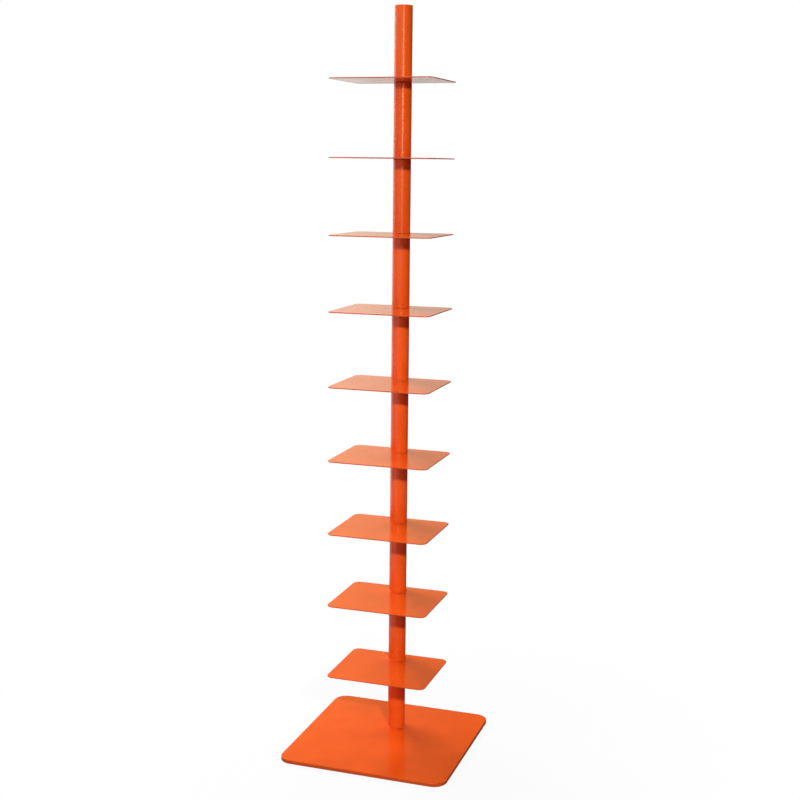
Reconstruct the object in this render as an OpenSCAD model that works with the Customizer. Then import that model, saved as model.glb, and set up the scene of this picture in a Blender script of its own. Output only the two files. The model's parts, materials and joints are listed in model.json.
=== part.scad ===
// Rotating spiral bookshelf.
// A slim floor-standing book tower: a heavy square base carries a fixed steel core,
// and every shelf is a thin plate welded under its own length of post tube. Each of
// these shelf units turns by itself on the core, on two nylon bushes, so that the
// plates can be fanned out into a spiral.
// Units are millimetres, +Z is up, the front is -Y, and the origin is the centre of
// the underside of the floor mat.

/* [Base plate] */
// Width of the base plate, left to right
base_w = 350; // [300:1:420]
// Depth of the base plate, front to back
base_d = 350; // [300:1:420]
// Thickness of the base plate
base_t = 8; // [8:0.5:14]
// Corner radius of the base plate, seen from above
base_corner_r = 28; // [12:1:60]
// Radius of the base plate's softened edges
base_edge_r = 1.5; // [0.5:0.1:3]
// Thickness of the floor mat under the base plate
mat_t = 1.5; // [1:0.1:3]
// Distance from the base plate's edge in to the mat's edge
mat_inset = 8; // [4:1:20]
// Room for a finger round the bolt's head in the mat's opening
mat_hole_room = 4; // [2:0.5:10]

/* [Post] */
// Distance from the post's axis to the base plate's rear edge
post_to_base_rear = 115; // [90:1:150]
// Outer diameter of the post tubes
tube_od = 36; // [36:0.5:44]
// Wall of the post tubes
tube_wall = 1.5; // [1:0.1:2]
// Height of one shelf unit, from one shelf's top face to the next
pitch = 150; // [120:1:200]
// Number of shelves
shelf_count = 9; // [2:1:11]
// Turn of each shelf against the one below it, in degrees, to see the spiral
fan_angle = 0; // [0:5:90]

/* [Shelf] */
// Width of a shelf plate, left to right
shelf_w = 210; // [160:1:260]
// Depth of a shelf plate, front to back
shelf_d = 175; // [120:1:240]
// Distance from the post's axis to a shelf plate's rear edge
post_to_shelf_rear = 27.5; // [23:0.5:60]
// Thickness of a shelf plate
shelf_t = 2; // [1.5:0.1:4]
// Corner radius of a shelf plate, seen from above
shelf_corner_r = 14; // [6:1:25]
// Radius of a shelf plate's softened edges
shelf_edge_r = 0.6; // [0.3:0.1:0.7]

/* [Core] */
// Outer diameter of the fixed core tube
core_od = 28; // [26:0.5:29]
// Wall of the core tube
core_wall = 2; // [1.5:0.1:2.5]
// Thickness of the flange on the core's foot
foot_flange_t = 6; // [6:0.5:12]
// Length of the foot's spigot inside the core tube
foot_spigot_len = 30; // [24:1:60]
// Length of the threaded plug in the core's top end
plug_len = 25; // [18:1:50]
// Distance from the core's top end to the thrust washer above it
core_end_gap = 0.6; // [0.4:0.1:0.8]

/* [Bushes] */
// Length of a bush inside its tube
bush_len = 18; // [10:1:30]
// Thickness of the running flange on an upper bush
bush_flange_t = 0.8; // [0.6:0.1:1.5]
// Distance from the tube's outside in to the rim of the flange
bush_flange_inset = 0.8; // [0.2:0.1:1.2]

/* [Fasteners] */
// Diameter of the bolt that holds the core to the base plate
bolt_d = 12; // [10:1:13]
// Length of the bolt above its countersunk head
bolt_len = 26; // [16:1:30]
// Diameter of the bolt's countersunk head
bolt_head_d = 24; // [20:0.5:24]
// Height of the straight rim under the bolt head's cone
bolt_rim_t = 0.8; // [0.4:0.1:1]
// Width across flats of the bolt's hexagon socket
bolt_socket_af = 8; // [6:1:8]
// Depth of the bolt's hexagon socket
bolt_socket_depth = 5; // [3:0.5:6]
// Diameter of the dowel pin that stops the core from turning
dowel_d = 5; // [4:0.5:5]
// Distance of the dowel pin from the post's axis
dowel_reach = 11.5; // [11:0.1:12]
// Depth of the dowel pin in the base plate
dowel_low = 3.5; // [2.5:0.1:3.5]
// Depth of the dowel pin in the core's foot
dowel_high = 4.5; // [3:0.1:5]
// Diameter of the stud that holds the top cap
stud_d = 10; // [8:1:12]
// Length of the stud in the core's top plug
stud_low = 16; // [12:1:17]

/* [Top cap] */
// Thickness of the cap's disc
cap_t = 4; // [3:0.5:6]
// Diameter of the cap's threaded boss
cap_boss_d = 16; // [15:0.5:18]
// Depth of the cap's blind threaded hole
cap_hole_depth = 5; // [4:0.1:6]
// Chamfer round the cap's top edge
cap_chamfer = 0.8; // [0.3:0.1:1.5]
// Thickness of the steel thrust washer
washer_t = 1; // [0.8:0.1:2]
// Thickness of the disc spring's metal
spring_t = 0.8; // [0.5:0.1:1]
// Height of the disc spring's cone, rim to rim
spring_rise = 1; // [0.6:0.1:1.5]

/* [Fits] */
// Radial clearance of the bushes on the core, a running fit
running_gap = 0.08; // [0.05:0.01:0.1]
// Radial clearance of pieces that are pressed, welded or screwed together
press_gap = 0.02; // [0.01:0.01:0.05]
// Radial clearance of a shelf plate's hole round the core
plate_gap = 0.5; // [0.4:0.1:1]
// Radial clearance of the cap and its washers inside the top tube
cap_gap = 0.3; // [0.2:0.1:0.6]
// Radial clearance of the base plate's holes round the bolt
hole_gap = 0.2; // [0.1:0.1:0.5]

/* [Hidden] */
$fn = 96;

tube_r = tube_od / 2;
tube_bore_r = tube_r - tube_wall;
core_r = core_od / 2;
core_bore_r = core_r - core_wall;
bolt_r = bolt_d / 2;
head_r = bolt_head_d / 2;
stud_r = stud_d / 2;
boss_r = cap_boss_d / 2;
flange_r = tube_r - bush_flange_inset;
cap_rim_r = tube_bore_r - cap_gap;
washer_bore_r = boss_r + cap_gap;

// The post's axis and the shelves' centre, behind the centre of the base
post_back = base_d / 2 - post_to_base_rear;
shelf_back = post_back + post_to_shelf_rear - shelf_d / 2;

base_z = mat_t;
base_top = base_z + base_t;
foot_top = base_top + foot_flange_t;
tube_len = pitch - shelf_t - bush_flange_t;
post_top = base_top + shelf_count * pitch + tube_len;

// The stack inside the top tube's mouth, from the cap down to the core
cap_z = post_top - cap_t;
spring_z = cap_z - spring_t - spring_rise;
washer_z = spring_z - washer_t;
core_top = washer_z - core_end_gap;
boss_z = core_top + core_end_gap / 2;

// Height of a shelf's top face; shelf 1 is the lowest
function shelf_top(i) = base_top + i * pitch;

paint = "orangered";
steel = "silver";
nylon = "dimgray";
felt = "black";

// Upright bar of the plate's edge profile: flat faces, outer edges rounded by e
module edge_profile(reach, t, e) {
    translate([0, e]) square([reach, t - 2 * e]);
    square([reach - e, t]);
    for (y = [e, t - e]) translate([reach - e, y]) circle(r = e, $fn = 48);
}

// Flat plate with round corners and softened edges, standing on z = 0
module soft_plate(w, d, t, corner_r, edge_r) {
    inner_w = w - 2 * corner_r;
    inner_d = d - 2 * corner_r;
    for (side = [0, 1]) mirror([0, side, 0])
        translate([-inner_w / 2, 0, 0]) rotate([90, 0, 90])
            linear_extrude(inner_w) edge_profile(d / 2, t, edge_r);
    for (side = [0, 1]) mirror([side, 0, 0]) {
        translate([inner_w / 2, inner_d / 2, 0]) rotate([90, 0, 0])
            linear_extrude(inner_d) edge_profile(corner_r, t, edge_r);
        for (end = [0, 1]) mirror([0, end, 0])
            translate([inner_w / 2, inner_d / 2, 0])
                rotate_extrude(angle = 90) edge_profile(corner_r, t, edge_r);
    }
}

// Flat sheet with round corners and square edges
module round_sheet(w, d, t, corner_r) {
    linear_extrude(t) {
        square([w - 2 * corner_r, d], center = true);
        square([w, d - 2 * corner_r], center = true);
        for (x = [-1, 1], y = [-1, 1])
            translate([x * (w / 2 - corner_r), y * (d / 2 - corner_r)]) circle(r = corner_r);
    }
}

// Ring standing on z = 0
module ring(outer_r, inner_r, h) {
    difference() {
        cylinder(r = outer_r, h = h);
        translate([0, 0, -1]) cylinder(r = inner_r, h = h + 2);
    }
}

// Places its children on the post's axis at height z
module on_post(z) {
    translate([0, post_back, z]) children();
}

// Countersunk head, cone upwards: also the shape of its seat, with a gap
module bolt_head(gap) {
    cylinder(r = head_r + gap, h = bolt_rim_t);
    translate([0, 0, bolt_rim_t])
        cylinder(r1 = head_r + gap, r2 = bolt_r + gap, h = head_r - bolt_r);
}

// Thin mat that keeps the steel off the floor, open under the bolt's head
module base_mat() {
    color(felt) difference() {
        round_sheet(base_w - 2 * mat_inset, base_d - 2 * mat_inset, mat_t,
            max(base_corner_r - mat_inset, 1));
        on_post(-1) cylinder(r = head_r + mat_hole_room, h = mat_t + 2);
    }
}

// Steel plate with the countersunk bolt hole and the blind dowel hole
module base_plate() {
    color(paint) difference() {
        translate([0, 0, base_z]) soft_plate(base_w, base_d, base_t, base_corner_r, base_edge_r);
        on_post(base_z) bolt_head(hole_gap);
        on_post(base_z - 1) cylinder(r = head_r + hole_gap, h = 1 + bolt_rim_t);
        on_post(base_z) cylinder(r = bolt_r + hole_gap, h = base_t + 1);
        on_post(base_top - dowel_low) translate([0, dowel_reach, 0])
            cylinder(d = dowel_d + 2 * press_gap, h = dowel_low + 1);
    }
}

// Countersunk socket bolt, screwed up through the base plate into the foot
module base_bolt() {
    color(steel) on_post(base_z) difference() {
        union() {
            bolt_head(0);
            cylinder(r = bolt_r, h = bolt_rim_t + head_r - bolt_r + bolt_len);
        }
        translate([0, 0, -1])
            cylinder(d = bolt_socket_af / cos(30), h = bolt_socket_depth + 1, $fn = 6);
    }
}

// Pin between the base plate and the foot, so that turning a shelf can't loosen the bolt
module base_dowel() {
    color(steel) on_post(base_top - dowel_low) translate([0, dowel_reach, 0])
        cylinder(d = dowel_d, h = dowel_low + dowel_high);
}

// Turned foot: a flange that also centres the base tube, and a spigot welded into the core
module core_foot() {
    color(steel) on_post(base_top) difference() {
        union() {
            cylinder(r = tube_bore_r - press_gap, h = foot_flange_t);
            cylinder(r = core_bore_r - press_gap, h = foot_flange_t + foot_spigot_len);
        }
        translate([0, 0, -1])
            cylinder(r = bolt_r + press_gap, h = foot_flange_t + foot_spigot_len + 2);
        translate([0, dowel_reach, -1])
            cylinder(d = dowel_d + 2 * press_gap, h = dowel_high + 1);
    }
}

// Fixed tube that all the shelf units turn on
module core_tube() {
    color(steel) on_post(foot_top) ring(core_r, core_bore_r, core_top - foot_top);
}

// Threaded plug welded into the core's top end
module core_top_plug() {
    color(steel) on_post(core_top - plug_len)
        ring(core_bore_r - press_gap, stud_r + press_gap, plug_len);
}

// One length of post tube standing at height z
module post_tube(z) {
    color(paint) on_post(z) ring(tube_r, tube_bore_r, tube_len);
}

// Plain nylon bush standing at height z inside a tube
module plain_bush(z) {
    color(nylon) on_post(z) ring(tube_bore_r - press_gap, core_r + running_gap, bush_len);
}

// Nylon bush hung in a tube's upper end at height z: its flange carries the next unit
module flanged_bush(z) {
    color(nylon) on_post(z - bush_len) difference() {
        union() {
            cylinder(r = tube_bore_r - press_gap, h = bush_len);
            translate([0, 0, bush_len]) cylinder(r = flange_r, h = bush_flange_t);
        }
        translate([0, 0, -1])
            cylinder(r = core_r + running_gap, h = bush_len + bush_flange_t + 2);
    }
}

// Thin steel plate of shelf i, with its hole round the core
module shelf_plate(i) {
    color(paint) difference() {
        on_post(shelf_top(i) - shelf_t) rotate(fan_angle * i)
            translate([0, shelf_back - post_back, 0])
                soft_plate(shelf_w, shelf_d, shelf_t, shelf_corner_r, shelf_edge_r);
        on_post(shelf_top(i) - shelf_t - 1) cylinder(r = core_r + plate_gap, h = shelf_t + 2);
    }
}

// Upper bush of shelf i: the highest one is plain and sits under the cap's stack
module shelf_upper_bush(i) {
    if (i < shelf_count) flanged_bush(shelf_top(i) + tube_len);
    else plain_bush(washer_z - bush_len);
}

// Steel washer that presses on the highest bush
module top_washer() {
    color(steel) on_post(washer_z)
        ring(cap_rim_r, washer_bore_r, washer_t);
}

// Conical spring washer: it keeps the stack pressed together, so a shelf stays where it is put
module top_disc_spring() {
    rim_r = cap_rim_r - cap_gap;
    color(steel) on_post(spring_z) rotate_extrude() polygon([
        [rim_r, 0],
        [rim_r, spring_t],
        [washer_bore_r, spring_t + spring_rise],
        [washer_bore_r, spring_rise]
    ]);
}

// Headless stud between the core's top plug and the cap
module top_stud() {
    color(steel) on_post(core_top - stud_low)
        cylinder(r = stud_r, h = stud_low + boss_z - core_top + cap_hole_depth);
}

// Turned cap, flush with the top tube's end, with its threaded boss below
module top_cap() {
    color(paint) difference() {
        union() {
            on_post(boss_z) cylinder(r = boss_r, h = cap_z - boss_z);
            on_post(cap_z) rotate_extrude() polygon([
                [0, 0],
                [cap_rim_r, 0],
                [cap_rim_r, cap_t - cap_chamfer],
                [cap_rim_r - cap_chamfer, cap_t],
                [0, cap_t]
            ]);
        }
        on_post(boss_z - 1) cylinder(r = stud_r + press_gap, h = cap_hole_depth + 1);
    }
}

base_mat();
base_plate();
base_bolt();
base_dowel();
core_foot();
core_tube();
core_top_plug();
post_tube(base_top);  // base_tube
flanged_bush(base_top + tube_len);  // base_tube_bush
for (i = [1:shelf_count]) {
    shelf_plate(i);
    post_tube(shelf_top(i));
    plain_bush(shelf_top(i));
    shelf_upper_bush(i);
}
top_washer();
top_disc_spring();
top_stud();
top_cap();
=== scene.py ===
"""Looks of the rotating spiral bookshelf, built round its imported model.

The base slab, the floor mat, the post tubes, the shelf sheets and the top cap are
modelled here. The core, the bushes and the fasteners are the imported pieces, each with
its own finish. Lengths are metres, +Z is up and the front is -Y.
"""

import json
import logging
import math
from collections.abc import Callable
from dataclasses import dataclass
from enum import Enum

import bmesh
import bpy
from mathutils import Matrix, Vector

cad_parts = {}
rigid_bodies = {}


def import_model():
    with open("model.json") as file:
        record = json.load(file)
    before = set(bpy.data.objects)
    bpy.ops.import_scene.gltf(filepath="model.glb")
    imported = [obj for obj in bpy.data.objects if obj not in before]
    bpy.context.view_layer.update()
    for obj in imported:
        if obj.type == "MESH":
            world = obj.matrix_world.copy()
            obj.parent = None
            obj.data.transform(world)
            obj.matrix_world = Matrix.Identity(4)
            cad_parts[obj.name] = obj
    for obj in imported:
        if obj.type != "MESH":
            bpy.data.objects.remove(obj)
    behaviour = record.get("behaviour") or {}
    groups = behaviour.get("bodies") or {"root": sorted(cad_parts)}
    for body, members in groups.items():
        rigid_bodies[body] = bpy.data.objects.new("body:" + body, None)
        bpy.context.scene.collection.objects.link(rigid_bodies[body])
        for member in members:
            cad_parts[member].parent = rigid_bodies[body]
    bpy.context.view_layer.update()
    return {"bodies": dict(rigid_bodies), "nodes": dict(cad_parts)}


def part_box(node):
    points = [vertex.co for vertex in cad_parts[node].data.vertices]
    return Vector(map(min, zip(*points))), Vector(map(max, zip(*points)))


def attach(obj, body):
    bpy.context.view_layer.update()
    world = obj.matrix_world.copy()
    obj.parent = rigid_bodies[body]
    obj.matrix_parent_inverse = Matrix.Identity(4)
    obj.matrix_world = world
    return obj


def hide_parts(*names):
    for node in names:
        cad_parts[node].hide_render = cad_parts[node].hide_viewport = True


log = logging.getLogger("bookshelf")

MM = 0.001
# Two places that are closer than this are the same.
NEAR = 0.001 * MM
# A direction runs along an axis if its part along it is above the first of these, and
# square to the axis if it is below the second.
MOSTLY, HARDLY = 0.9, 0.1

Colour = tuple[float, float, float]
Sockets = dict[str | int, object]
WHITE: Colour = (1.0, 1.0, 1.0)


class Slot(Enum):
    """The record's material slots."""

    ORANGE = "orange_paint"
    STEEL = "bare_steel"
    NYLON = "nylon"
    FELT = "felt"


class Element(Enum):
    """What a selection on the bench picks."""

    CORNERS = "VERT"
    EDGES = "EDGE"
    FACES = "FACE"


class Grain(Enum):
    """The way in which a metal's fine lines run."""

    ROUND = "round the axis"
    ALONG = "along the axis"


# Shader values and finishes


@dataclass(frozen=True)
class Term:
    """One output of a node. Calculating with it adds Math nodes to its tree.

    Attributes:
        tree: The node tree that the output belongs to.
        socket: The output itself.
    """

    tree: bpy.types.NodeTree
    socket: bpy.types.NodeSocket

    def calc(self, operation: str, *values: "Term | float") -> "Term":
        """Adds a Math node on some values.

        Args:
            operation: The Math node's operation.
            values: Its inputs in order, terms or numbers.

        Returns:
            The result as a term.
        """
        node = self.tree.nodes.new("ShaderNodeMath")
        node.operation = operation
        for slot, value in zip(node.inputs, values):
            if isinstance(value, Term):
                self.tree.links.new(value.socket, slot)
            else:
                slot.default_value = value
        return Term(self.tree, node.outputs[0])

    def __add__(self, other: "Term | float") -> "Term":
        """Sum."""
        return self.calc("ADD", self, other)

    def __radd__(self, other: float) -> "Term":
        """Sum with a number on the left."""
        return self.calc("ADD", other, self)

    def __sub__(self, other: "Term | float") -> "Term":
        """Difference."""
        return self.calc("SUBTRACT", self, other)

    def __rsub__(self, other: float) -> "Term":
        """A number less this value."""
        return self.calc("SUBTRACT", other, self)

    def __mul__(self, other: "Term | float") -> "Term":
        """Product."""
        return self.calc("MULTIPLY", self, other)

    def __rmul__(self, other: float) -> "Term":
        """Product with a number on the left."""
        return self.calc("MULTIPLY", other, self)

    def __pow__(self, other: float) -> "Term":
        """Power."""
        return self.calc("POWER", self, other)

    def __abs__(self) -> "Term":
        """Size without its sign."""
        return self.calc("ABSOLUTE", self)

    def either(self, other: "Term | float") -> "Term":
        """The larger of two values."""
        return self.calc("MAXIMUM", self, other)

    def step(self, start: float, end: float) -> "Term":
        """Rises smoothly from 0 at one value to 1 at another.

        Args:
            start: The value where the result is 0.
            end: The value where the result is 1; it may be below the start.

        Returns:
            The smooth step as a term.
        """
        node = self.tree.nodes.new("ShaderNodeMapRange")
        node.interpolation_type = "SMOOTHSTEP"
        ends = (start, end, 0.0, 1.0) if start < end else (end, start, 1.0, 0.0)
        for slot, value in zip(node.inputs[1:5], ends):
            slot.default_value = value
        self.tree.links.new(self.socket, node.inputs[0])
        return Term(self.tree, node.outputs[0])


class Mixer:
    """Adds nodes to one tree, of a material or of the world."""

    def __init__(self, tree: bpy.types.NodeTree) -> None:
        """Clears the tree.

        Args:
            tree: The tree that the nodes are added to.
        """
        self.tree = tree
        tree.nodes.clear()

    def add(
        self, kind: str, inputs: Sockets | None = None, **settings: object
    ) -> bpy.types.Node:
        """Adds a node, sets it and feeds its sockets.

        Args:
            kind: The node's type without its ShaderNode prefix.
            inputs: Values, terms or sockets by the name or number of the input socket.
            settings: The node's own settings, set before its sockets.

        Returns:
            The new node.
        """
        node = self.tree.nodes.new("ShaderNode" + kind)
        for key, value in settings.items():
            setattr(node, key, value)
        for key, value in (inputs or {}).items():
            if isinstance(value, Term):
                self.tree.links.new(value.socket, node.inputs[key])
            elif isinstance(value, bpy.types.NodeSocket):
                self.tree.links.new(value, node.inputs[key])
            else:
                node.inputs[key].default_value = value
        return node

    def term(self, node: bpy.types.Node, output: str | int = 0) -> Term:
        """One of a node's outputs as a term."""
        return Term(self.tree, node.outputs[output])

    def place(
        self, scale: tuple[float, float, float] = (1, 1, 1), centre: Vector = Vector()
    ) -> Term:
        """Object coordinates, moved and stretched.

        Args:
            scale: How much finer the pattern gets along each axis.
            centre: The point that becomes the pattern's origin.

        Returns:
            The coordinates as a term.
        """
        raw = self.term(self.add("TexCoord"), "Object")
        moved = self.term(self.add("VectorMath", {0: raw, 1: tuple(centre)}, operation="SUBTRACT"))
        return self.term(self.add("Mapping", {"Vector": moved, "Scale": scale}))

    def noise(self, place: Term, per_metre: float, detail: float = 2.0, rough: float = 0.5) -> Term:
        """Soft noise, about 0.5 on average.

        Args:
            place: The coordinates that it reads.
            per_metre: How many blobs a metre has.
            detail: Number of finer layers.
            rough: Strength of the finer layers.

        Returns:
            The noise as a term.
        """
        node = self.add(
            "TexNoise", {"Vector": place, "Scale": per_metre, "Detail": detail, "Roughness": rough}
        )
        return self.term(node)

    def blend(self, share: Term | float, first: Term | Colour, second: Term | Colour) -> Term:
        """Mixes two colours.

        Args:
            share: How much of the second colour shows, 0 to 1.
            first: The first colour.
            second: The second colour.

        Returns:
            The mixed colour as a term.
        """
        colours = [c if isinstance(c, Term) else (*c, 1.0) for c in (first, second)]
        node = self.add("Mix", {0: share, 6: colours[0], 7: colours[1]}, data_type="RGBA")
        return self.term(node, 2)

    def bump(self, height: Term, depth: float, below: Term | None = None) -> Term:
        """Turns a height into a surface direction.

        Args:
            height: The relief, 0 to 1.
            depth: Its real depth in metres.
            below: Another relief's direction that this one lies on.

        Returns:
            The direction as a term.
        """
        inputs: Sockets = {"Height": height, "Distance": depth, "Strength": 1.0}
        if below is not None:
            inputs["Normal"] = below
        return self.term(self.add("Bump", inputs))

    def parts(self, place: Term) -> tuple[Term, Term, Term]:
        """The X, Y and Z parts of a place or a direction."""
        node = self.add("SeparateXYZ", {0: place})
        return self.term(node, 0), self.term(node, 1), self.term(node, 2)

    def up(self) -> Term:
        """How much the surface faces up, from -1 to 1."""
        return self.parts(self.term(self.add("NewGeometry"), "Normal"))[2]

    def rays(self) -> tuple[Term, Term]:
        """Tells rays apart.

        Returns:
            1 for a ray from the eye, also through glass, and 1 for one that a gloss mirrors.
        """
        path = self.add("LightPath")
        seen = self.term(path, "Is Camera Ray").either(self.term(path, "Is Transmission Ray"))
        return seen, self.term(path, "Is Glossy Ray") * (1.0 - seen)


class Finish:
    """What all finishes share: a name, a slot and a material of one Principled shader.

    Attributes:
        name: The material's name.
        slot: The record's slot.
    """

    name: str
    slot: Slot

    def material(self) -> bpy.types.Material:
        """Gives the finish's material, and makes it the first time.

        Returns:
            The material.
        """
        if self.name in bpy.data.materials:
            return bpy.data.materials[self.name]
        material = bpy.data.materials.new(self.name)
        material.use_nodes = True
        mixer = Mixer(material.node_tree)
        shader = mixer.add("BsdfPrincipled", self.sockets(mixer))
        mixer.add("OutputMaterial", {"Surface": shader.outputs[0]})
        return material

    def sockets(self, mixer: Mixer) -> Sockets:
        """Adds the finish's nodes.

        Args:
            mixer: The material's mixer.

        Returns:
            What the shader's sockets get.
        """
        raise NotImplementedError


@dataclass(frozen=True)
class PowderCoat(Finish):
    """Glossy powder coat on steel.

    Attributes:
        name: The material's name.
        colour: The coat where it is thick and clean.
        edge_shade_colour: Painted shade on the coat's upright edge faces, darker than the coat.
        edge_shade_share: How much of that painted shade shows there.
        roughness: Roughness of the clean coat.
        peel_size: Width of the orange peel's waves.
        peel_depth: Depth of the orange peel's waves.
        rubbed: How much the faces that carry books are rubbed.
        rub_colour: The coat where books have rubbed it.
        rub_depth: Depth of those fine scratches.
    """

    name: str
    colour: Colour = (0.85, 0.092, 0.006)
    edge_shade_colour: Colour = (0.24, 0.05, 0.012)
    edge_shade_share: float = 0.0
    roughness: float = 0.17
    peel_size: float = 2.2 * MM
    peel_depth: float = 0.0025 * MM
    rubbed: float = 0.0
    rub_colour: Colour = (0.9, 0.3, 0.16)
    rub_depth: float = 0.002 * MM
    slot = Slot.ORANGE

    def sockets(self, mixer: Mixer) -> Sockets:
        """Adds the coat's nodes.

        Args:
            mixer: The material's mixer.

        Returns:
            What the shader's sockets get.
        """
        place = mixer.place()
        facing = mixer.up()
        clouds = mixer.noise(place, 11.0, detail=3.0, rough=0.55)
        pigment = mixer.noise(place, 2400.0, detail=1.0)
        dark = tuple(c * 0.93 for c in self.colour)
        light = (min(self.colour[0] * 1.05, 1.0), self.colour[1] * 1.12, self.colour[2] * 1.5)
        colour = mixer.blend(clouds.step(0.3, 0.7) * 0.8 + pigment * 0.2, dark, light)
        strokes = mixer.noise(mixer.place((55.0, 900.0, 1.0)), 1.0, detail=3.0, rough=0.6)
        worn = mixer.noise(place, 17.0).step(0.42, 0.68) * facing.step(0.9, 1.0)
        rubs = strokes.step(0.58, 0.74) * worn * self.rubbed
        colour = mixer.blend(rubs * 0.15, colour, self.rub_colour)
        # Painted shade: upright faces, the edges of the sheets and the slab, get a darker colour,
        # varied by noise.
        edge = abs(facing).step(0.94, 0.2) * self.edge_shade_share
        edge_shade_noise = mixer.noise(place, 160.0, detail=3.0, rough=0.6)
        colour = mixer.blend(edge * (0.75 + edge_shade_noise * 0.5), colour, self.edge_shade_colour)
        smudges = mixer.noise(place, 34.0, detail=4.0, rough=0.6)
        rough = self.roughness + (smudges - 0.5) * 0.06 + rubs * 0.12 + edge * 0.1
        waves = mixer.noise(place, 1.0 / self.peel_size, detail=1.0)
        relief = mixer.bump(waves, self.peel_depth)
        relief = mixer.bump(rubs, -self.rub_depth, relief)
        return {"Base Color": colour, "Roughness": rough, "Normal": relief, "IOR": 1.5}


@dataclass(frozen=True)
class MachinedSteel(Finish):
    """Steel with fine tool or drawing lines about the post's axis.

    Attributes:
        name: The material's name.
        axis: A point on the post's axis.
        grain: The way in which the lines run.
        colour: The bare metal.
        stain: The metal where oil has dried on it.
        roughness: Roughness of the clean metal.
        pitch: Distance between two lines.
        depth: Depth of the lines.
    """

    name: str
    axis: Vector
    grain: Grain = Grain.ROUND
    colour: Colour = (0.56, 0.57, 0.58)
    stain: Colour = (0.42, 0.39, 0.35)
    roughness: float = 0.27
    pitch: float = 0.35 * MM
    depth: float = 0.004 * MM
    slot = Slot.STEEL

    def _lines(self, mixer: Mixer) -> Term:
        """Adds the nodes of the fine lines.

        Args:
            mixer: The material's mixer.

        Returns:
            The lines' height as a term.
        """
        x, y, z = mixer.parts(mixer.place(centre=self.axis))
        reach = (x * x + y * y) ** 0.5
        turn = x.calc("ARCTAN2", y, x)
        fine = 1.0 / self.pitch
        if self.grain is Grain.ROUND:
            lines = mixer.add("CombineXYZ", {0: reach * fine, 1: z * fine, 2: turn * 0.8})
        else:
            lines = mixer.add("CombineXYZ", {0: turn * (0.014 * fine), 1: z * 6.0, 2: reach * fine})
        return mixer.noise(mixer.term(lines), 1.0, rough=0.6)

    def sockets(self, mixer: Mixer) -> Sockets:
        """Adds the metal's nodes.

        Args:
            mixer: The material's mixer.

        Returns:
            What the shader's sockets get.
        """
        place = mixer.place()
        lines = self._lines(mixer)
        stains = mixer.noise(place, 90.0, detail=4.0, rough=0.6).step(0.52, 0.72)
        light = tuple(min(c * 1.12, 1.0) for c in self.colour)
        colour = mixer.blend(lines, self.colour, light)
        colour = mixer.blend(stains * 0.45, colour, self.stain)
        rough = self.roughness + (lines - 0.5) * 0.14 + stains * 0.14
        relief = mixer.bump(lines, self.depth)
        return {"Base Color": colour, "Metallic": 1.0, "Roughness": rough, "Normal": relief}


@dataclass(frozen=True)
class ZincPlate(Finish):
    """Bright zinc plating with a faint blue and yellow tinge.

    Attributes:
        name: The material's name.
        colour: The plating.
        blue: Its cooler tinge.
        straw: Its warmer tinge.
        roughness: Roughness of the plating.
        depth: Depth of its fine frosting.
    """

    name: str
    colour: Colour = (0.62, 0.64, 0.67)
    blue: Colour = (0.52, 0.57, 0.68)
    straw: Colour = (0.68, 0.64, 0.5)
    roughness: float = 0.32
    depth: float = 0.004 * MM
    slot = Slot.STEEL

    def sockets(self, mixer: Mixer) -> Sockets:
        """Adds the plating's nodes.

        Args:
            mixer: The material's mixer.

        Returns:
            What the shader's sockets get.
        """
        place = mixer.place()
        tinge = mixer.noise(place, 210.0, detail=3.0)
        frost = mixer.noise(place, 2600.0, rough=0.6)
        colour = mixer.blend(tinge.step(0.45, 0.7) * 0.6, self.colour, self.blue)
        colour = mixer.blend(tinge.step(0.48, 0.3) * 0.5, colour, self.straw)
        rough = self.roughness + (frost - 0.5) * 0.2
        relief = mixer.bump(frost, self.depth)
        return {"Base Color": colour, "Metallic": 1.0, "Roughness": rough, "Normal": relief}


@dataclass(frozen=True)
class MouldedNylon(Finish):
    """Dark moulded nylon with a fine matt grain.

    Attributes:
        name: The material's name.
        colour: The nylon where it is new.
        rubbed: The nylon where it has run against steel.
        roughness: Roughness of the matt grain.
        depth: Depth of the grain.
    """

    name: str
    colour: Colour = (0.022, 0.02, 0.02)
    rubbed: Colour = (0.07, 0.066, 0.062)
    roughness: float = 0.5
    depth: float = 0.012 * MM
    slot = Slot.NYLON

    def sockets(self, mixer: Mixer) -> Sockets:
        """Adds the nylon's nodes.

        Args:
            mixer: The material's mixer.

        Returns:
            What the shader's sockets get.
        """
        place = mixer.place()
        grain = mixer.noise(place, 2200.0, rough=0.6)
        flow = mixer.noise(mixer.place((1.0, 1.0, 5.0)), 60.0, detail=3.0)
        wear = mixer.noise(place, 140.0, detail=3.0, rough=0.6).step(0.5, 0.7)
        colour = mixer.blend(wear * 0.5 + flow * 0.2, self.colour, self.rubbed)
        rough = self.roughness + (grain - 0.5) * 0.2 - wear * 0.12
        return {"Base Color": colour, "Roughness": rough, "Normal": mixer.bump(grain, self.depth)}


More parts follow.
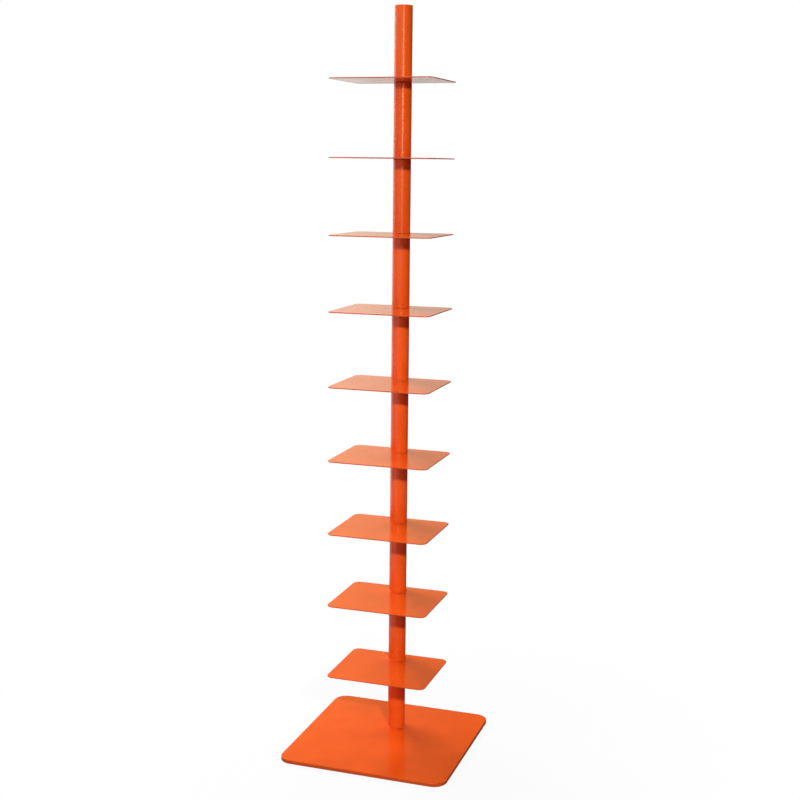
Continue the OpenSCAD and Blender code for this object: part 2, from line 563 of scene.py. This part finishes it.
@dataclass(frozen=True)
class PressedFelt(Finish):
    """Thin pressed felt of dark fibres.

    Attributes:
        name: The material's name.
        colour: The felt's dark fibres.
        light_fibre: The few lighter fibres.
        depth: Depth of the pile.
    """

    name: str
    colour: Colour = (0.018, 0.017, 0.017)
    light_fibre: Colour = (0.085, 0.08, 0.075)
    depth: float = 0.12 * MM
    slot = Slot.FELT

    def sockets(self, mixer: Mixer) -> Sockets:
        """Adds the felt's nodes.

        Args:
            mixer: The material's mixer.

        Returns:
            What the shader's sockets get.
        """
        bend = mixer.noise(mixer.place(), 420.0)
        long_x = mixer.noise(mixer.place((180.0, 2600.0, 900.0)), 1.0, rough=0.7)
        long_y = mixer.noise(mixer.place((2600.0, 180.0, 900.0)), 1.0, rough=0.7)
        fibres = long_x.either(long_y) * 0.7 + bend * 0.3
        lint = fibres.step(0.6, 0.78)
        colour = mixer.blend(lint, self.colour, self.light_fibre)
        return {
            "Base Color": colour,
            "Roughness": 0.95,
            "Normal": mixer.bump(fibres, self.depth),
            "Sheen Weight": 0.25,
            "Sheen Roughness": 0.6,
        }


# The bench, where new pieces are modelled


class Bench:
    """One new piece on the bench, from its first primitive to its finished mesh."""

    def __init__(self, name: str) -> None:
        """Takes the primitive that was just added, in edit mode.

        Args:
            name: The piece's name.
        """
        self.piece = bpy.context.object
        self.piece.name = name
        self.piece.data.name = name
        bpy.ops.object.transform_apply(location=True, rotation=True, scale=True)
        bpy.ops.object.mode_set(mode="EDIT")

    @staticmethod
    def clear() -> None:
        """Leaves edit mode and deselects everything."""
        if bpy.context.mode != "OBJECT":
            bpy.ops.object.mode_set(mode="OBJECT")
        bpy.ops.object.select_all(action="DESELECT")

    @classmethod
    def block(cls, name: str, low: Vector, high: Vector) -> "Bench":
        """Starts from a block.

        Args:
            name: The piece's name.
            low: The block's lowest corner.
            high: The block's highest corner.

        Returns:
            The bench with the block on it.
        """
        cls.clear()
        bpy.ops.mesh.primitive_cube_add(size=1, location=(low + high) / 2)
        bpy.context.object.scale = high - low
        return cls(name)

    @classmethod
    def half_section(
        cls, name: str, axis: Vector, inner: float, outer: float, low: float, high: float
    ) -> "Bench":
        """Starts from one half of a turned piece's section, a flat face beside the axis.

        Args:
            name: The piece's name.
            axis: A point on the axis.
            inner: The section's distance from the axis.
            outer: The section's reach from the axis.
            low: Height of its lower end.
            high: Height of its upper end.

        Returns:
            The bench with the section on it.
        """
        cls.clear()
        middle = (axis.x + (inner + outer) / 2, axis.y, (low + high) / 2)
        bpy.ops.mesh.primitive_plane_add(size=1, location=middle, rotation=(math.pi / 2, 0, 0))
        bpy.context.object.scale = (outer - inner, high - low, 1)
        return cls(name)

    @classmethod
    def rod(cls, name: str, middle: Vector, radius: float, length: float, sides: int) -> "Bench":
        """Starts from an upright rod.

        Args:
            name: The piece's name.
            middle: The rod's middle.
            radius: The rod's radius.
            length: The rod's length.
            sides: Number of flats round it.

        Returns:
            The bench with the rod on it.
        """
        cls.clear()
        bpy.ops.mesh.primitive_cylinder_add(
            vertices=sides, radius=radius, depth=length, location=middle, end_fill_type="NGON"
        )
        return cls(name)

    def pick(self, element: Element, test: Callable[[Vector, Vector], bool]) -> None:
        """Selects the elements that pass a test, and nothing else.

        Args:
            element: What is picked.
            test: Takes an element's middle and its direction, which is an edge's line or
                a normal.

        Raises:
            ValueError: Nothing passes the test.
        """
        bpy.ops.mesh.select_mode(type=element.value)
        bpy.ops.mesh.select_all(action="DESELECT")
        mesh = bmesh.from_edit_mesh(self.piece.data)
        found = 0
        if element is Element.CORNERS:
            items = [(v, v.co, v.normal) for v in mesh.verts]
        elif element is Element.EDGES:
            ends = [(e, e.verts[0].co, e.verts[1].co) for e in mesh.edges]
            items = [(e, (a + b) / 2, (b - a).normalized()) for e, a, b in ends]
        else:
            items = [(f, f.calc_center_median(), f.normal) for f in mesh.faces]
        for item, middle, direction in items:
            if test(middle, direction):
                item.select_set(True)
                found += 1
        mesh.select_flush_mode()
        bmesh.update_edit_mesh(self.piece.data)
        if not found:
            raise ValueError(f"{self.piece.name}: nothing to pick")

    def pick_corner(self, x: float, z: float) -> None:
        """Selects the corner of a half section that lies at a place."""
        self.pick(
            Element.CORNERS, lambda place, _: abs(place.x - x) < NEAR and abs(place.z - z) < NEAR
        )

    def round_over(self, element: Element, radius: float, segments: int) -> None:
        """Rounds what is selected.

        Args:
            element: Whether edges or corners are rounded.
            radius: The rounding's radius.
            segments: Number of flats in it.
        """
        affect = "EDGES" if element is Element.EDGES else "VERTICES"
        bpy.ops.mesh.bevel(offset=radius, segments=segments, affect=affect, profile=0.5)

    def round_block(self, corner_r: float, segments: int) -> None:
        """Rounds the upright edges of a block."""
        self.pick(Element.EDGES, lambda _, line: abs(line.z) > MOSTLY)
        self.round_over(Element.EDGES, corner_r, segments)

    def soften_rims(self, edge_r: float, segments: int) -> None:
        """Rounds the level edges of a block whose upright edges are round already."""
        self.pick(Element.EDGES, lambda _, line: abs(line.z) < HARDLY)
        self.round_over(Element.EDGES, edge_r, segments)

    def cut_with(self, cutter: "Bench") -> None:
        """Cuts another bench's piece out of this one, and removes it.

        Args:
            cutter: The bench with the cutter.
        """
        self.clear()
        bpy.context.view_layer.objects.active = self.piece
        self.piece.select_set(True)
        bpy.ops.object.modifier_add(type="BOOLEAN")
        hole = self.piece.modifiers[-1]
        hole.operation = "DIFFERENCE"
        hole.solver = "EXACT"
        hole.object = cutter.piece
        bpy.ops.object.modifier_apply(modifier=hole.name)
        bpy.data.objects.remove(cutter.piece)
        bpy.ops.object.mode_set(mode="EDIT")

    @staticmethod
    def pick_all(element: Element) -> None:
        """Selects all elements of one kind."""
        bpy.ops.mesh.select_mode(type=element.value)
        bpy.ops.mesh.select_all(action="SELECT")

    def merge_section(self) -> None:
        """Makes one face of the section, with no edges across it."""
        self.pick_all(Element.FACES)
        bpy.ops.mesh.dissolve_faces()

    def turn(self, axis: Vector, steps: int) -> None:
        """Turns the merged half section all the way round the axis.

        Args:
            axis: A point on the axis.
            steps: Number of flats round it.
        """
        self.pick_all(Element.FACES)
        bpy.ops.mesh.delete(type="ONLY_FACE")
        self.pick_all(Element.EDGES)
        bpy.ops.mesh.spin(steps=steps, dupli=False, angle=math.tau, center=axis, axis=(0, 0, 1))

    def finish(self, crease_deg: float = 38.0) -> bpy.types.Object:
        """Closes the seams, turns the faces outwards and smooths the round ones.

        Args:
            crease_deg: Edges sharper than this stay sharp.

        Returns:
            The finished piece, its object at the origin.
        """
        bpy.ops.mesh.select_all(action="SELECT")
        bpy.ops.mesh.remove_doubles(threshold=0.002 * MM)
        bpy.ops.mesh.normals_make_consistent(inside=False)
        self.clear()
        self.piece.select_set(True)
        bpy.context.view_layer.objects.active = self.piece
        bpy.ops.object.transform_apply(location=True, rotation=True, scale=True)
        bpy.ops.object.shade_smooth_by_angle(angle=math.radians(crease_deg))
        bpy.ops.object.modifier_add(type="WEIGHTED_NORMAL")
        even = self.piece.modifiers[-1]
        even.keep_sharp = True
        bpy.ops.object.modifier_apply(modifier=even.name)
        return self.piece


def place_piece(piece: bpy.types.Object, body: str, node: str, finish: Finish) -> None:
    """Puts a finished piece on its body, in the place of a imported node.

    Args:
        piece: The finished piece.
        body: The body that it moves with.
        node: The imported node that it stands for.
        finish: Its finish.
    """
    piece.data.materials.clear()
    piece.data.materials.append(finish.material())
    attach(piece, body)
    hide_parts(node)
    log.info("%s on %s: %d faces, %s", piece.name, body, len(piece.data.polygons), finish.name)


def copy_up(
    piece: bpy.types.Object, start: str, kind: str, part: str, shelves: range, finish: Finish
) -> None:
    """Copies a finished piece straight up to other shelves, each copy with its own mesh.

    Args:
        piece: The piece that is copied.
        start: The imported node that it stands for.
        kind: The copies' names, after their shelf's.
        part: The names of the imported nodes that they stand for, after their shelf's.
        shelves: The numbers of the shelves that get a copy.
        finish: The copies' finish.
    """
    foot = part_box(start)[0].z
    for number in shelves:
        shelf = f"shelf_{number}"
        node = f"{shelf}_{part}"
        name = f"{shelf}_{kind}"
        mesh = piece.data.copy()
        mesh.name = name
        mesh.transform(Matrix.Translation((0, 0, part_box(node)[0].z - foot)))
        twin = bpy.data.objects.new(name, mesh)
        bpy.context.scene.collection.objects.link(twin)
        place_piece(twin, shelf, node, finish)


# The bookshelf's sub-assemblies


@dataclass
class Post:
    """Where the post stands and how smoothly round pieces are turned.

    Attributes:
        axis: A point on the post's axis.
        sides: Number of flats round the post.
    """

    axis: Vector
    sides: int = 128

    @classmethod
    def from_frame(cls) -> "Post":
        """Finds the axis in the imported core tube."""
        low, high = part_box("core_tube")
        return cls(((low + high) / 2).xy.to_3d())

    def at(self, height: float) -> Vector:
        """The point on the axis at a height."""
        return self.axis + Vector((0, 0, height))


@dataclass
class Base:
    """Base slab and floor mat.

    Attributes:
        post: The post that stands on the slab.
        corner_r: Corner radius of the slab, seen from above.
        edge_r: Radius of the slab's softened edges.
        mat_corner_r: Corner radius of the mat.
        mat_hole_r: Radius of the mat's opening under the bolt.
        head_r: Radius of the countersink's mouth.
        rim: Depth of its straight part.
        bolt_r: Radius of the bolt's hole.
        dowel_r: Radius of the dowel's hole.
        dowel_reach: Distance of the dowel's hole from the post's axis.
        dowel_depth: Depth of the dowel's hole.
    """

    post: Post
    corner_r: float = 28 * MM
    edge_r: float = 1.5 * MM
    mat_corner_r: float = 20 * MM
    mat_hole_r: float = 16 * MM
    head_r: float = 12.2 * MM
    rim: float = 0.8 * MM
    bolt_r: float = 6.2 * MM
    dowel_r: float = 2.52 * MM
    dowel_reach: float = 11.5 * MM
    dowel_depth: float = 3.5 * MM

    def countersink(self, low: float, high: float) -> Bench:
        """Models the cutter for the bolt's hole and its countersink.

        Args:
            low: Height of the slab's underside.
            high: Height of the slab's top.

        Returns:
            The bench with the cutter.
        """
        below = 1 * MM
        middle = self.post.at(low + (self.rim - below) / 2)
        cutter = Bench.rod("countersink", middle, self.head_r, self.rim + below, sides=96)
        cutter.pick(Element.FACES, lambda _, normal: normal.z > MOSTLY)
        cone = self.head_r - self.bolt_r
        bpy.ops.mesh.extrude_region_move(TRANSFORM_OT_translate={"value": (0, 0, cone)})
        shrink = self.bolt_r / self.head_r
        centre = self.post.at(low + self.rim + cone)
        bpy.ops.transform.resize(value=(shrink, shrink, 1), center_override=centre)
        rest = high - low - self.rim - cone + below
        bpy.ops.mesh.extrude_region_move(TRANSFORM_OT_translate={"value": (0, 0, rest)})
        return cutter

    def slab(self) -> bpy.types.Object:
        """Models the slab: round corners, softened rims, and the holes under the post.

        Returns:
            The finished slab.
        """
        low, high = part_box("base_plate")
        bench = Bench.block("base_slab", low, high)
        bench.round_block(self.corner_r, segments=20)
        bench.soften_rims(self.edge_r, segments=6)
        bench.cut_with(self.countersink(low.z, high.z))
        above = 1 * MM
        height = high.z - self.dowel_depth / 2 + above
        middle = self.post.axis + Vector((0, self.dowel_reach, height))
        length = self.dowel_depth + 2 * above
        bench.cut_with(Bench.rod("dowel_hole", middle, self.dowel_r, length, sides=32))
        return bench.finish()

    def mat(self) -> bpy.types.Object:
        """Models the thin floor mat with its opening under the bolt.

        Returns:
            The finished mat.
        """
        low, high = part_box("base_mat")
        bench = Bench.block("floor_mat", low, high)
        bench.round_block(self.mat_corner_r, segments=16)
        middle = self.post.at((low.z + high.z) / 2)
        bench.cut_with(Bench.rod("mat_opening", middle, self.mat_hole_r, length=6 * MM, sides=64))
        return bench.finish()

    def build(self, coat: PowderCoat, felt: PressedFelt) -> None:
        """Builds and dresses both pieces.

        Args:
            coat: The slab's finish.
            felt: The mat's finish.
        """
        place_piece(self.slab(), "stand", "base_plate", coat)
        place_piece(self.mat(), "stand", "base_mat", felt)


@dataclass
class PostTubes:
    """The post's tubes: one on the base and one welded on each shelf sheet.

    Attributes:
        post: The post that they make up.
        wall: Wall of the tube.
        toe: Height of the weld's outer rim.
        weld_r: Reach of the weld's hollow beyond the tube.
        weld_hollow: How much of the weld's corner is hollowed out.
        brow_r: Radius of the tube's upper outer edge.
        lip_r: Radius of the tube's upper inner edge.
    """

    post: Post
    wall: float = 1.5 * MM
    toe: float = 0.12 * MM
    weld_r: float = 1.1 * MM
    weld_hollow: float = 0.98
    brow_r: float = 0.45 * MM
    lip_r: float = 0.3 * MM

    def tube(self) -> bpy.types.Object:
        """Models the base's tube with the weld round its foot and its eased upper end.

        Returns:
            The finished tube, which the shelves' tubes are copied from.
        """
        low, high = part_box("base_tube")
        radius = (high.x - low.x) / 2
        bore = radius - self.wall
        x = self.post.axis.x
        bench = Bench.half_section("base_post_tube", self.post.axis, bore, radius, low.z, high.z)
        bpy.ops.mesh.select_all(action="SELECT")
        bpy.ops.mesh.bisect(plane_co=(0, 0, low.z + self.toe), plane_no=(0, 0, 1))
        bench.pick(
            Element.EDGES,
            lambda place, line: abs(line.z) > MOSTLY and place.x > x + bore + self.wall / 2
            and place.z < low.z + self.toe,
        )
        bpy.ops.mesh.extrude_region_move(TRANSFORM_OT_translate={"value": (self.weld_r, 0, 0)})
        bench.merge_section()
        roundings = (
            (x + radius, low.z + self.toe, self.weld_r * self.weld_hollow, 6),
            (x + radius, high.z, self.brow_r, 4),
            (x + bore, high.z, self.lip_r, 3),
        )
        for corner_x, corner_z, corner_r, segments in roundings:
            bench.pick_corner(corner_x, corner_z)
            bench.round_over(Element.CORNERS, corner_r, segments)
        bench.turn(self.post.axis, self.post.sides)
        return bench.finish()

    def build(self, coat: PowderCoat, shelves: int) -> None:
        """Builds and dresses the tubes.

        Args:
            coat: Their finish.
            shelves: Number of shelves.
        """
        first = self.tube()
        copy_up(first, "base_tube", "post_tube", "tube", range(1, shelves + 1), coat)
        place_piece(first, "stand", "base_tube", coat)


@dataclass
class ShelfSheets:
    """The thin shelf plates.

    Attributes:
        post: The post that they turn on.
        corner_r: Corner radius, seen from above.
        edge_r: Radius of the softened edges.
        hole_r: Radius of the hole round the core.
    """

    post: Post
    corner_r: float = 14 * MM
    edge_r: float = 0.6 * MM
    hole_r: float = 14.5 * MM

    def sheet(self) -> bpy.types.Object:
        """Models the lowest sheet: round corners, softened rims and the hole round the core.

        Returns:
            The finished sheet, which the other sheets are copied from.
        """
        low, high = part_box("shelf_1_plate")
        bench = Bench.block("shelf_1_sheet", low, high)
        bench.round_block(self.corner_r, segments=14)
        bench.soften_rims(self.edge_r, segments=4)
        middle = self.post.at((low.z + high.z) / 2)
        bench.cut_with(Bench.rod("core_hole", middle, self.hole_r, length=8 * MM, sides=64))
        return bench.finish()

    def build(self, coat: PowderCoat, shelves: int) -> None:
        """Builds and dresses the sheets.

        Args:
            coat: Their finish.
            shelves: Number of shelves.
        """
        first = self.sheet()
        copy_up(first, "shelf_1_plate", "sheet", "plate", range(2, shelves + 1), coat)
        place_piece(first, "shelf_1", "shelf_1_plate", coat)


@dataclass
class TopCap:
    """Turned cap in the mouth of the highest tube.

    Attributes:
        post: The post that it closes.
        disc_t: Thickness of the cap's disc.
        boss_r: Radius of the threaded boss.
        thread_r: Radius of the blind thread.
        thread_depth: Depth of the blind thread.
        brow_r: Radius of the disc's upper edge.
    """

    post: Post
    disc_t: float = 4 * MM
    boss_r: float = 8 * MM
    thread_r: float = 5.02 * MM
    thread_depth: float = 5 * MM
    brow_r: float = 0.8 * MM

    def cap(self) -> bpy.types.Object:
        """Models the cap: a disc with an eased edge, and the boss with its blind thread.

        Returns:
            The finished cap.
        """
        low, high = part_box("top_cap")
        radius = (high.x - low.x) / 2
        x = self.post.axis.x
        under = high.z - self.disc_t
        bench = Bench.half_section("post_cap", self.post.axis, 0.0, radius, under, high.z)
        for cut in (self.thread_r, self.boss_r):
            bpy.ops.mesh.select_all(action="SELECT")
            bpy.ops.mesh.bisect(plane_co=(x + cut, 0, 0), plane_no=(1, 0, 0))
        bench.pick(
            Element.EDGES,
            lambda place, line: abs(line.x) > MOSTLY and place.z < under + NEAR
            and self.thread_r < place.x - x < self.boss_r,
        )
        bpy.ops.mesh.extrude_region_move(TRANSFORM_OT_translate={"value": (0, 0, low.z - under)})
        bench.pick(
            Element.EDGES,
            lambda place, line: abs(line.x) > MOSTLY and place.z < under + NEAR
            and place.x - x < self.thread_r,
        )
        rise = low.z + self.thread_depth - under
        bpy.ops.mesh.extrude_region_move(TRANSFORM_OT_translate={"value": (0, 0, rise)})
        bench.merge_section()
        bench.pick_corner(x + radius, high.z)
        bench.round_over(Element.CORNERS, self.brow_r, segments=5)
        bench.turn(self.post.axis, self.post.sides)
        return bench.finish()

    def build(self, coat: PowderCoat) -> None:
        """Builds the cap and gives it its coat."""
        place_piece(self.cap(), "stand", "top_cap", coat)


@dataclass
class Innards:
    """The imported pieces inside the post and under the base, which keep their shape.

    Attributes:
        post: The post that they stand in.
        nodes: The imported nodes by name.
        shelves: Number of shelves.
    """

    post: Post
    nodes: dict[str, bpy.types.Object]
    shelves: int

    def dress(self) -> None:
        """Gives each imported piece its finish."""
        turned = MachinedSteel("turned_steel", self.post.axis)
        drawn = MachinedSteel("drawn_steel", self.post.axis, Grain.ALONG, roughness=0.3)
        spring = MachinedSteel(
            "spring_steel", self.post.axis, colour=(0.2, 0.19, 0.19), stain=(0.1, 0.085, 0.08)
        )
        zinc = ZincPlate("zinc_plate")
        nylon = MouldedNylon("moulded_nylon")
        bushes = ["base_tube_bush"]
        for number in range(1, self.shelves + 1):
            bushes += [f"shelf_{number}_lower_bush", f"shelf_{number}_upper_bush"]
        wearers: list[tuple[Finish, list[str]]] = [
            (turned, ["core_foot", "core_top_plug", "base_dowel"]),
            (drawn, ["core_tube"]),
            (spring, ["top_disc_spring"]),
            (zinc, ["base_bolt", "top_washer", "top_stud"]),
            (nylon, bushes),
        ]
        for finish, names in wearers:
            for name in names:
                for slot in self.nodes[name].material_slots:
                    slot.material = finish.material()
                log.info("%s keeps its packed shape: %s", name, finish.name)


# The studio and the camera


@dataclass
class Viewpoint:
    """The camera, at the photograph's viewing angle.

    Attributes:
        aim: The point on the post that the camera's place is counted from.
        azimuth: The camera's turn round the post, to the left of the front.
        reach: Its distance from the post's axis.
        drop: Its height above the aim.
        pitch: How far it looks down.
        roll: How far it leans.
        focal_px: Focal length in pixels of the frame.
        centre_y_px: Height of the optical axis in the frame, from the top.
        frame_px: Width and height of the frame.
        sensor_mm: Width of the sensor.
    """

    aim: Vector
    azimuth: float = -0.3221
    reach: float = 2.6872
    drop: float = -0.1665
    pitch: float = 0.1513
    roll: float = 0.0105
    focal_px: float = 1322.8
    centre_y_px: float = 368.0
    frame_px: float = 800.0
    sensor_mm: float = 36.0

    @property
    def front(self) -> Vector:
        """The level direction in which the camera faces."""
        return Vector((math.sin(self.azimuth), math.cos(self.azimuth), 0))

    @property
    def stand(self) -> Vector:
        """Where the camera stands."""
        return self.aim - self.front * self.reach + Vector((0, 0, self.drop))

    def build(self) -> None:
        """Makes the camera and sets it as the scene's."""
        data = bpy.data.cameras.new("camera")
        data.sensor_width = self.sensor_mm
        data.lens = self.focal_px / self.frame_px * self.sensor_mm
        data.shift_y = (self.centre_y_px - self.frame_px / 2) / self.frame_px
        data.clip_start, data.clip_end = 0.05, 100.0
        camera = bpy.data.objects.new("camera", data)
        bpy.context.scene.collection.objects.link(camera)
        ahead = self.front * math.cos(self.pitch) - Vector((0, 0, math.sin(self.pitch)))
        level = self.front.cross(Vector((0, 0, 1)))
        upright = level.cross(ahead)
        right = level * math.cos(self.roll) + upright * math.sin(self.roll)
        up = upright * math.cos(self.roll) - level * math.sin(self.roll)
        turn = Matrix((right, up, -ahead)).transposed()
        camera.matrix_world = Matrix.Translation(self.stand) @ turn.to_4x4()
        bpy.context.scene.camera = camera


@dataclass(frozen=True)
class Lamp:
    """A soft lamp round the post that the camera doesn't see.

    Attributes:
        name: The lamp's name.
        left_deg: Its turn round the post, counted to the left from the camera.
        reach: Its distance from the post's axis.
        height: Its height above the floor.
        aim: Height of the point on the post's axis that it faces.
        size: Its width and height; a square one is made round.
        watts: Its power.
        shine: Whether glossy surfaces mirror it.
        fill: Whether it lights the colour itself, under the gloss.
        tint: Its colour.
    """

    name: str
    left_deg: float
    reach: float
    height: float
    aim: float
    size: tuple[float, float]
    watts: float
    shine: bool = True
    fill: bool = True
    tint: Colour = WHITE

    def build(self, post: Vector, camera: Vector) -> None:
        """Adds the lamp to the scene.

        Args:
            post: The post's foot.
            camera: Where the camera stands.
        """
        data = bpy.data.lights.new(self.name, "AREA")
        data.shape = "DISK" if self.size[0] == self.size[1] else "RECTANGLE"
        data.size, data.size_y = self.size
        data.energy = self.watts
        data.color = self.tint
        lamp = bpy.data.objects.new(self.name, data)
        bpy.context.scene.collection.objects.link(lamp)
        away = camera - post
        level = Vector((away.x, away.y, 0.0)).normalized() * self.reach
        swing = Matrix.Rotation(-math.radians(self.left_deg), 3, "Z")
        place = post + swing @ level + Vector((0, 0, self.height))
        target = post + Vector((0, 0, self.aim))
        turn = (target - place).to_track_quat("-Z", "Y").to_matrix().to_4x4()
        lamp.matrix_world = Matrix.Translation(place) @ turn
        lamp.visible_camera = False
        lamp.visible_glossy = self.shine
        lamp.visible_diffuse = self.fill
        log.info("lamp %s: %.1f W", self.name, self.watts)


# Name, turn to the left, reach, height, height of the aim, size and power.
LAMPS = (
    Lamp("key", -12, 2.73, 1.56, -0.8, (0.1, 0.1), 55.0, shine=False),
    Lamp("glint", -3, 2.73, 1.5, 0.8, (0.3, 0.3), 14.0, fill=False, tint=(1.0, 0.85, 0.5)),
    Lamp("left_box", 126, 1.5, 0.85, 0.8, (0.9, 1.7), 4.5, fill=False),
    Lamp("left_fill", 32, 2.1, 0.6, 0.8, (1.1, 1.0), 7.5, shine=False),
    Lamp("high_box", 20, 0.9, 3.1, 0.0, (1.5, 1.4), 18.0),
    Lamp("left_top_box", 124, 1.9, 1.85, 0.3, (1.2, 1.0), 27.0, shine=False),
    Lamp("rear_left_box", 150, 2.2, 1.45, 0.3, (1.3, 0.9), 35.0, shine=False),
    Lamp("rear_right_box", 205, 2.2, 1.75, 0.3, (1.2, 0.9), 18.0, shine=False),
)


@dataclass
class Studio:
    """Pale floor, white surround and the lamps.

    Attributes:
        view: The photograph's viewpoint, which the lamps are placed by.
        floor_size: Width and depth of the floor.
        ambient: Strength of the surround's light on the object.
    """

    view: Viewpoint
    floor_size: float = 24.0
    ambient: float = 0.03

    def bearings(self, x: Term, y: Term) -> tuple[Term, Term]:
        """Turns level coordinates to the camera's direction.

        Args:
            x: The coordinate along the X axis.
            y: The coordinate along the Y axis.

        Returns:
            How far to the right and how far ahead the place is.
        """
        sine, cosine = math.sin(self.view.azimuth), math.cos(self.view.azimuth)
        return x * cosine - y * sine, x * sine + y * cosine

    def surround(self) -> None:
        """Makes the surround: white to the eye, uneven in reflections and dim as a light."""
        world = bpy.data.worlds.new("surround")
        world.use_nodes = True
        bpy.context.scene.world = world
        mixer = Mixer(world.node_tree)
        seen, mirrored = mixer.rays()
        x, y, z = mixer.parts(mixer.term(mixer.add("TexCoord"), "Generated"))
        right, ahead = self.bearings(x, y)
        # What a gloss mirrors is brightest just above the horizon, dim overhead and at the right.
        sky = 0.1 + z.step(0.58, 0.14) * (0.8 + z.step(0.03, 0.11) * 0.28)
        sky = sky * (1.0 - right.step(-0.12, 0.16) * (0.7 + z.step(0.3, 0.42) * 0.2))
        above = z.step(-0.02, 0.02)
        low = 0.2 + ahead.step(-0.1, 0.4) * 0.9
        sweep = (sky * above + low * (1.0 - above)) * (1.0 - right.step(0.25, 0.7) * 0.93)
        strength = seen + mirrored * sweep + (1.0 - seen) * (1.0 - mirrored) * self.ambient
        warm = mixer.blend(z.step(0.08, 0.33), (1.02, 1.0, 0.84), (1.1, 1.0, 0.45))
        warm = mixer.blend(above, (0.96, 1.0, 0.96), warm)
        tint = mixer.blend(mirrored, WHITE, warm)
        shade = mixer.add("Background", {"Color": tint, "Strength": strength})
        mixer.add("OutputWorld", {"Surface": shade.outputs[0]})

    def floor(self) -> None:
        """Makes the floor: white to the eye, with the object's soft shadow, clear from below."""
        Bench.clear()
        bpy.ops.mesh.primitive_plane_add(size=self.floor_size, location=(0, 0, 0))
        floor = bpy.context.object
        floor.name = "studio_floor"
        material = bpy.data.materials.new("studio_floor")
        material.use_nodes = True
        mixer = Mixer(material.node_tree)
        seen, mirrored = mixer.rays()
        x, y, _ = mixer.parts(mixer.place())
        right, ahead = self.bearings(x, y)
        away = ((x * x + y * y) ** 0.5).step(0.25, 0.9)
        front = (right - ahead * 0.58).step(-0.3, 0.3)
        grain = mixer.noise(mixer.place(), 4.0)
        tone = mixer.blend(grain, (0.79, 0.79, 0.79), (0.82, 0.82, 0.82))
        tone = mixer.blend(seen, (0.2, 0.2, 0.2), tone)
        tone = mixer.blend(mirrored, tone, (0.05, 0.05, 0.05))
        matt = mixer.add("BsdfDiffuse", {"Color": tone})
        glow = mixer.add("Emission", {"Color": (1, 1, 1, 1), "Strength": 1.0})
        # A gloss mirrors the floor brightly only at the left, and less so in front.
        glare = 0.06 + right.step(-0.1, -0.5) * (0.8 - front * 0.7)
        share = seen * (0.9 + away * 0.1) + mirrored * glare
        both = mixer.add("MixShader", {0: share, 1: matt.outputs[0], 2: glow.outputs[0]})
        under = mixer.term(mixer.add("NewGeometry"), "Backfacing")
        clear = mixer.add("BsdfTransparent")
        sides = mixer.add("MixShader", {0: under, 1: both.outputs[0], 2: clear.outputs[0]})
        mixer.add("OutputMaterial", {"Surface": sides.outputs[0]})
        floor.data.materials.append(material)

    def build(self) -> None:
        """Builds the studio and sets how colours are shown."""
        self.floor()
        self.surround()
        foot = Vector((self.view.aim.x, self.view.aim.y, 0.0))
        for lamp in LAMPS:
            lamp.build(foot, self.view.stand)
        bpy.context.scene.view_settings.view_transform = "Standard"


def main() -> None:
    """Builds the bookshelf's looks, the studio and the camera."""
    logging.basicConfig(level=logging.INFO, format="%(name)s: %(message)s")
    for thing in list(bpy.data.objects):
        bpy.data.objects.remove(thing)
    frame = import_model()
    shelves = sum(name.startswith("shelf_") for name in frame["bodies"])

    post = Post.from_frame()
    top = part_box(f"shelf_{shelves}_plate")[1].z
    viewpoint = Viewpoint(post.at(top))
    viewpoint.build()

    plate_coat = PowderCoat("orange_plate_coat", edge_shade_share=0.35, rubbed=1.0)
    post_coat = PowderCoat(
        "orange_post_coat", (0.85, 0.1, 0.006), roughness=0.28, peel_depth=0.0012 * MM
    )
    Base(post).build(plate_coat, PressedFelt("pressed_felt"))
    PostTubes(post).build(post_coat, shelves)
    ShelfSheets(post).build(plate_coat, shelves)
    TopCap(post).build(post_coat)
    Innards(post, frame["nodes"], shelves).dress()
    Studio(viewpoint).build()

    bpy.context.view_layer.update()


if __name__ == "__main__":
    main()
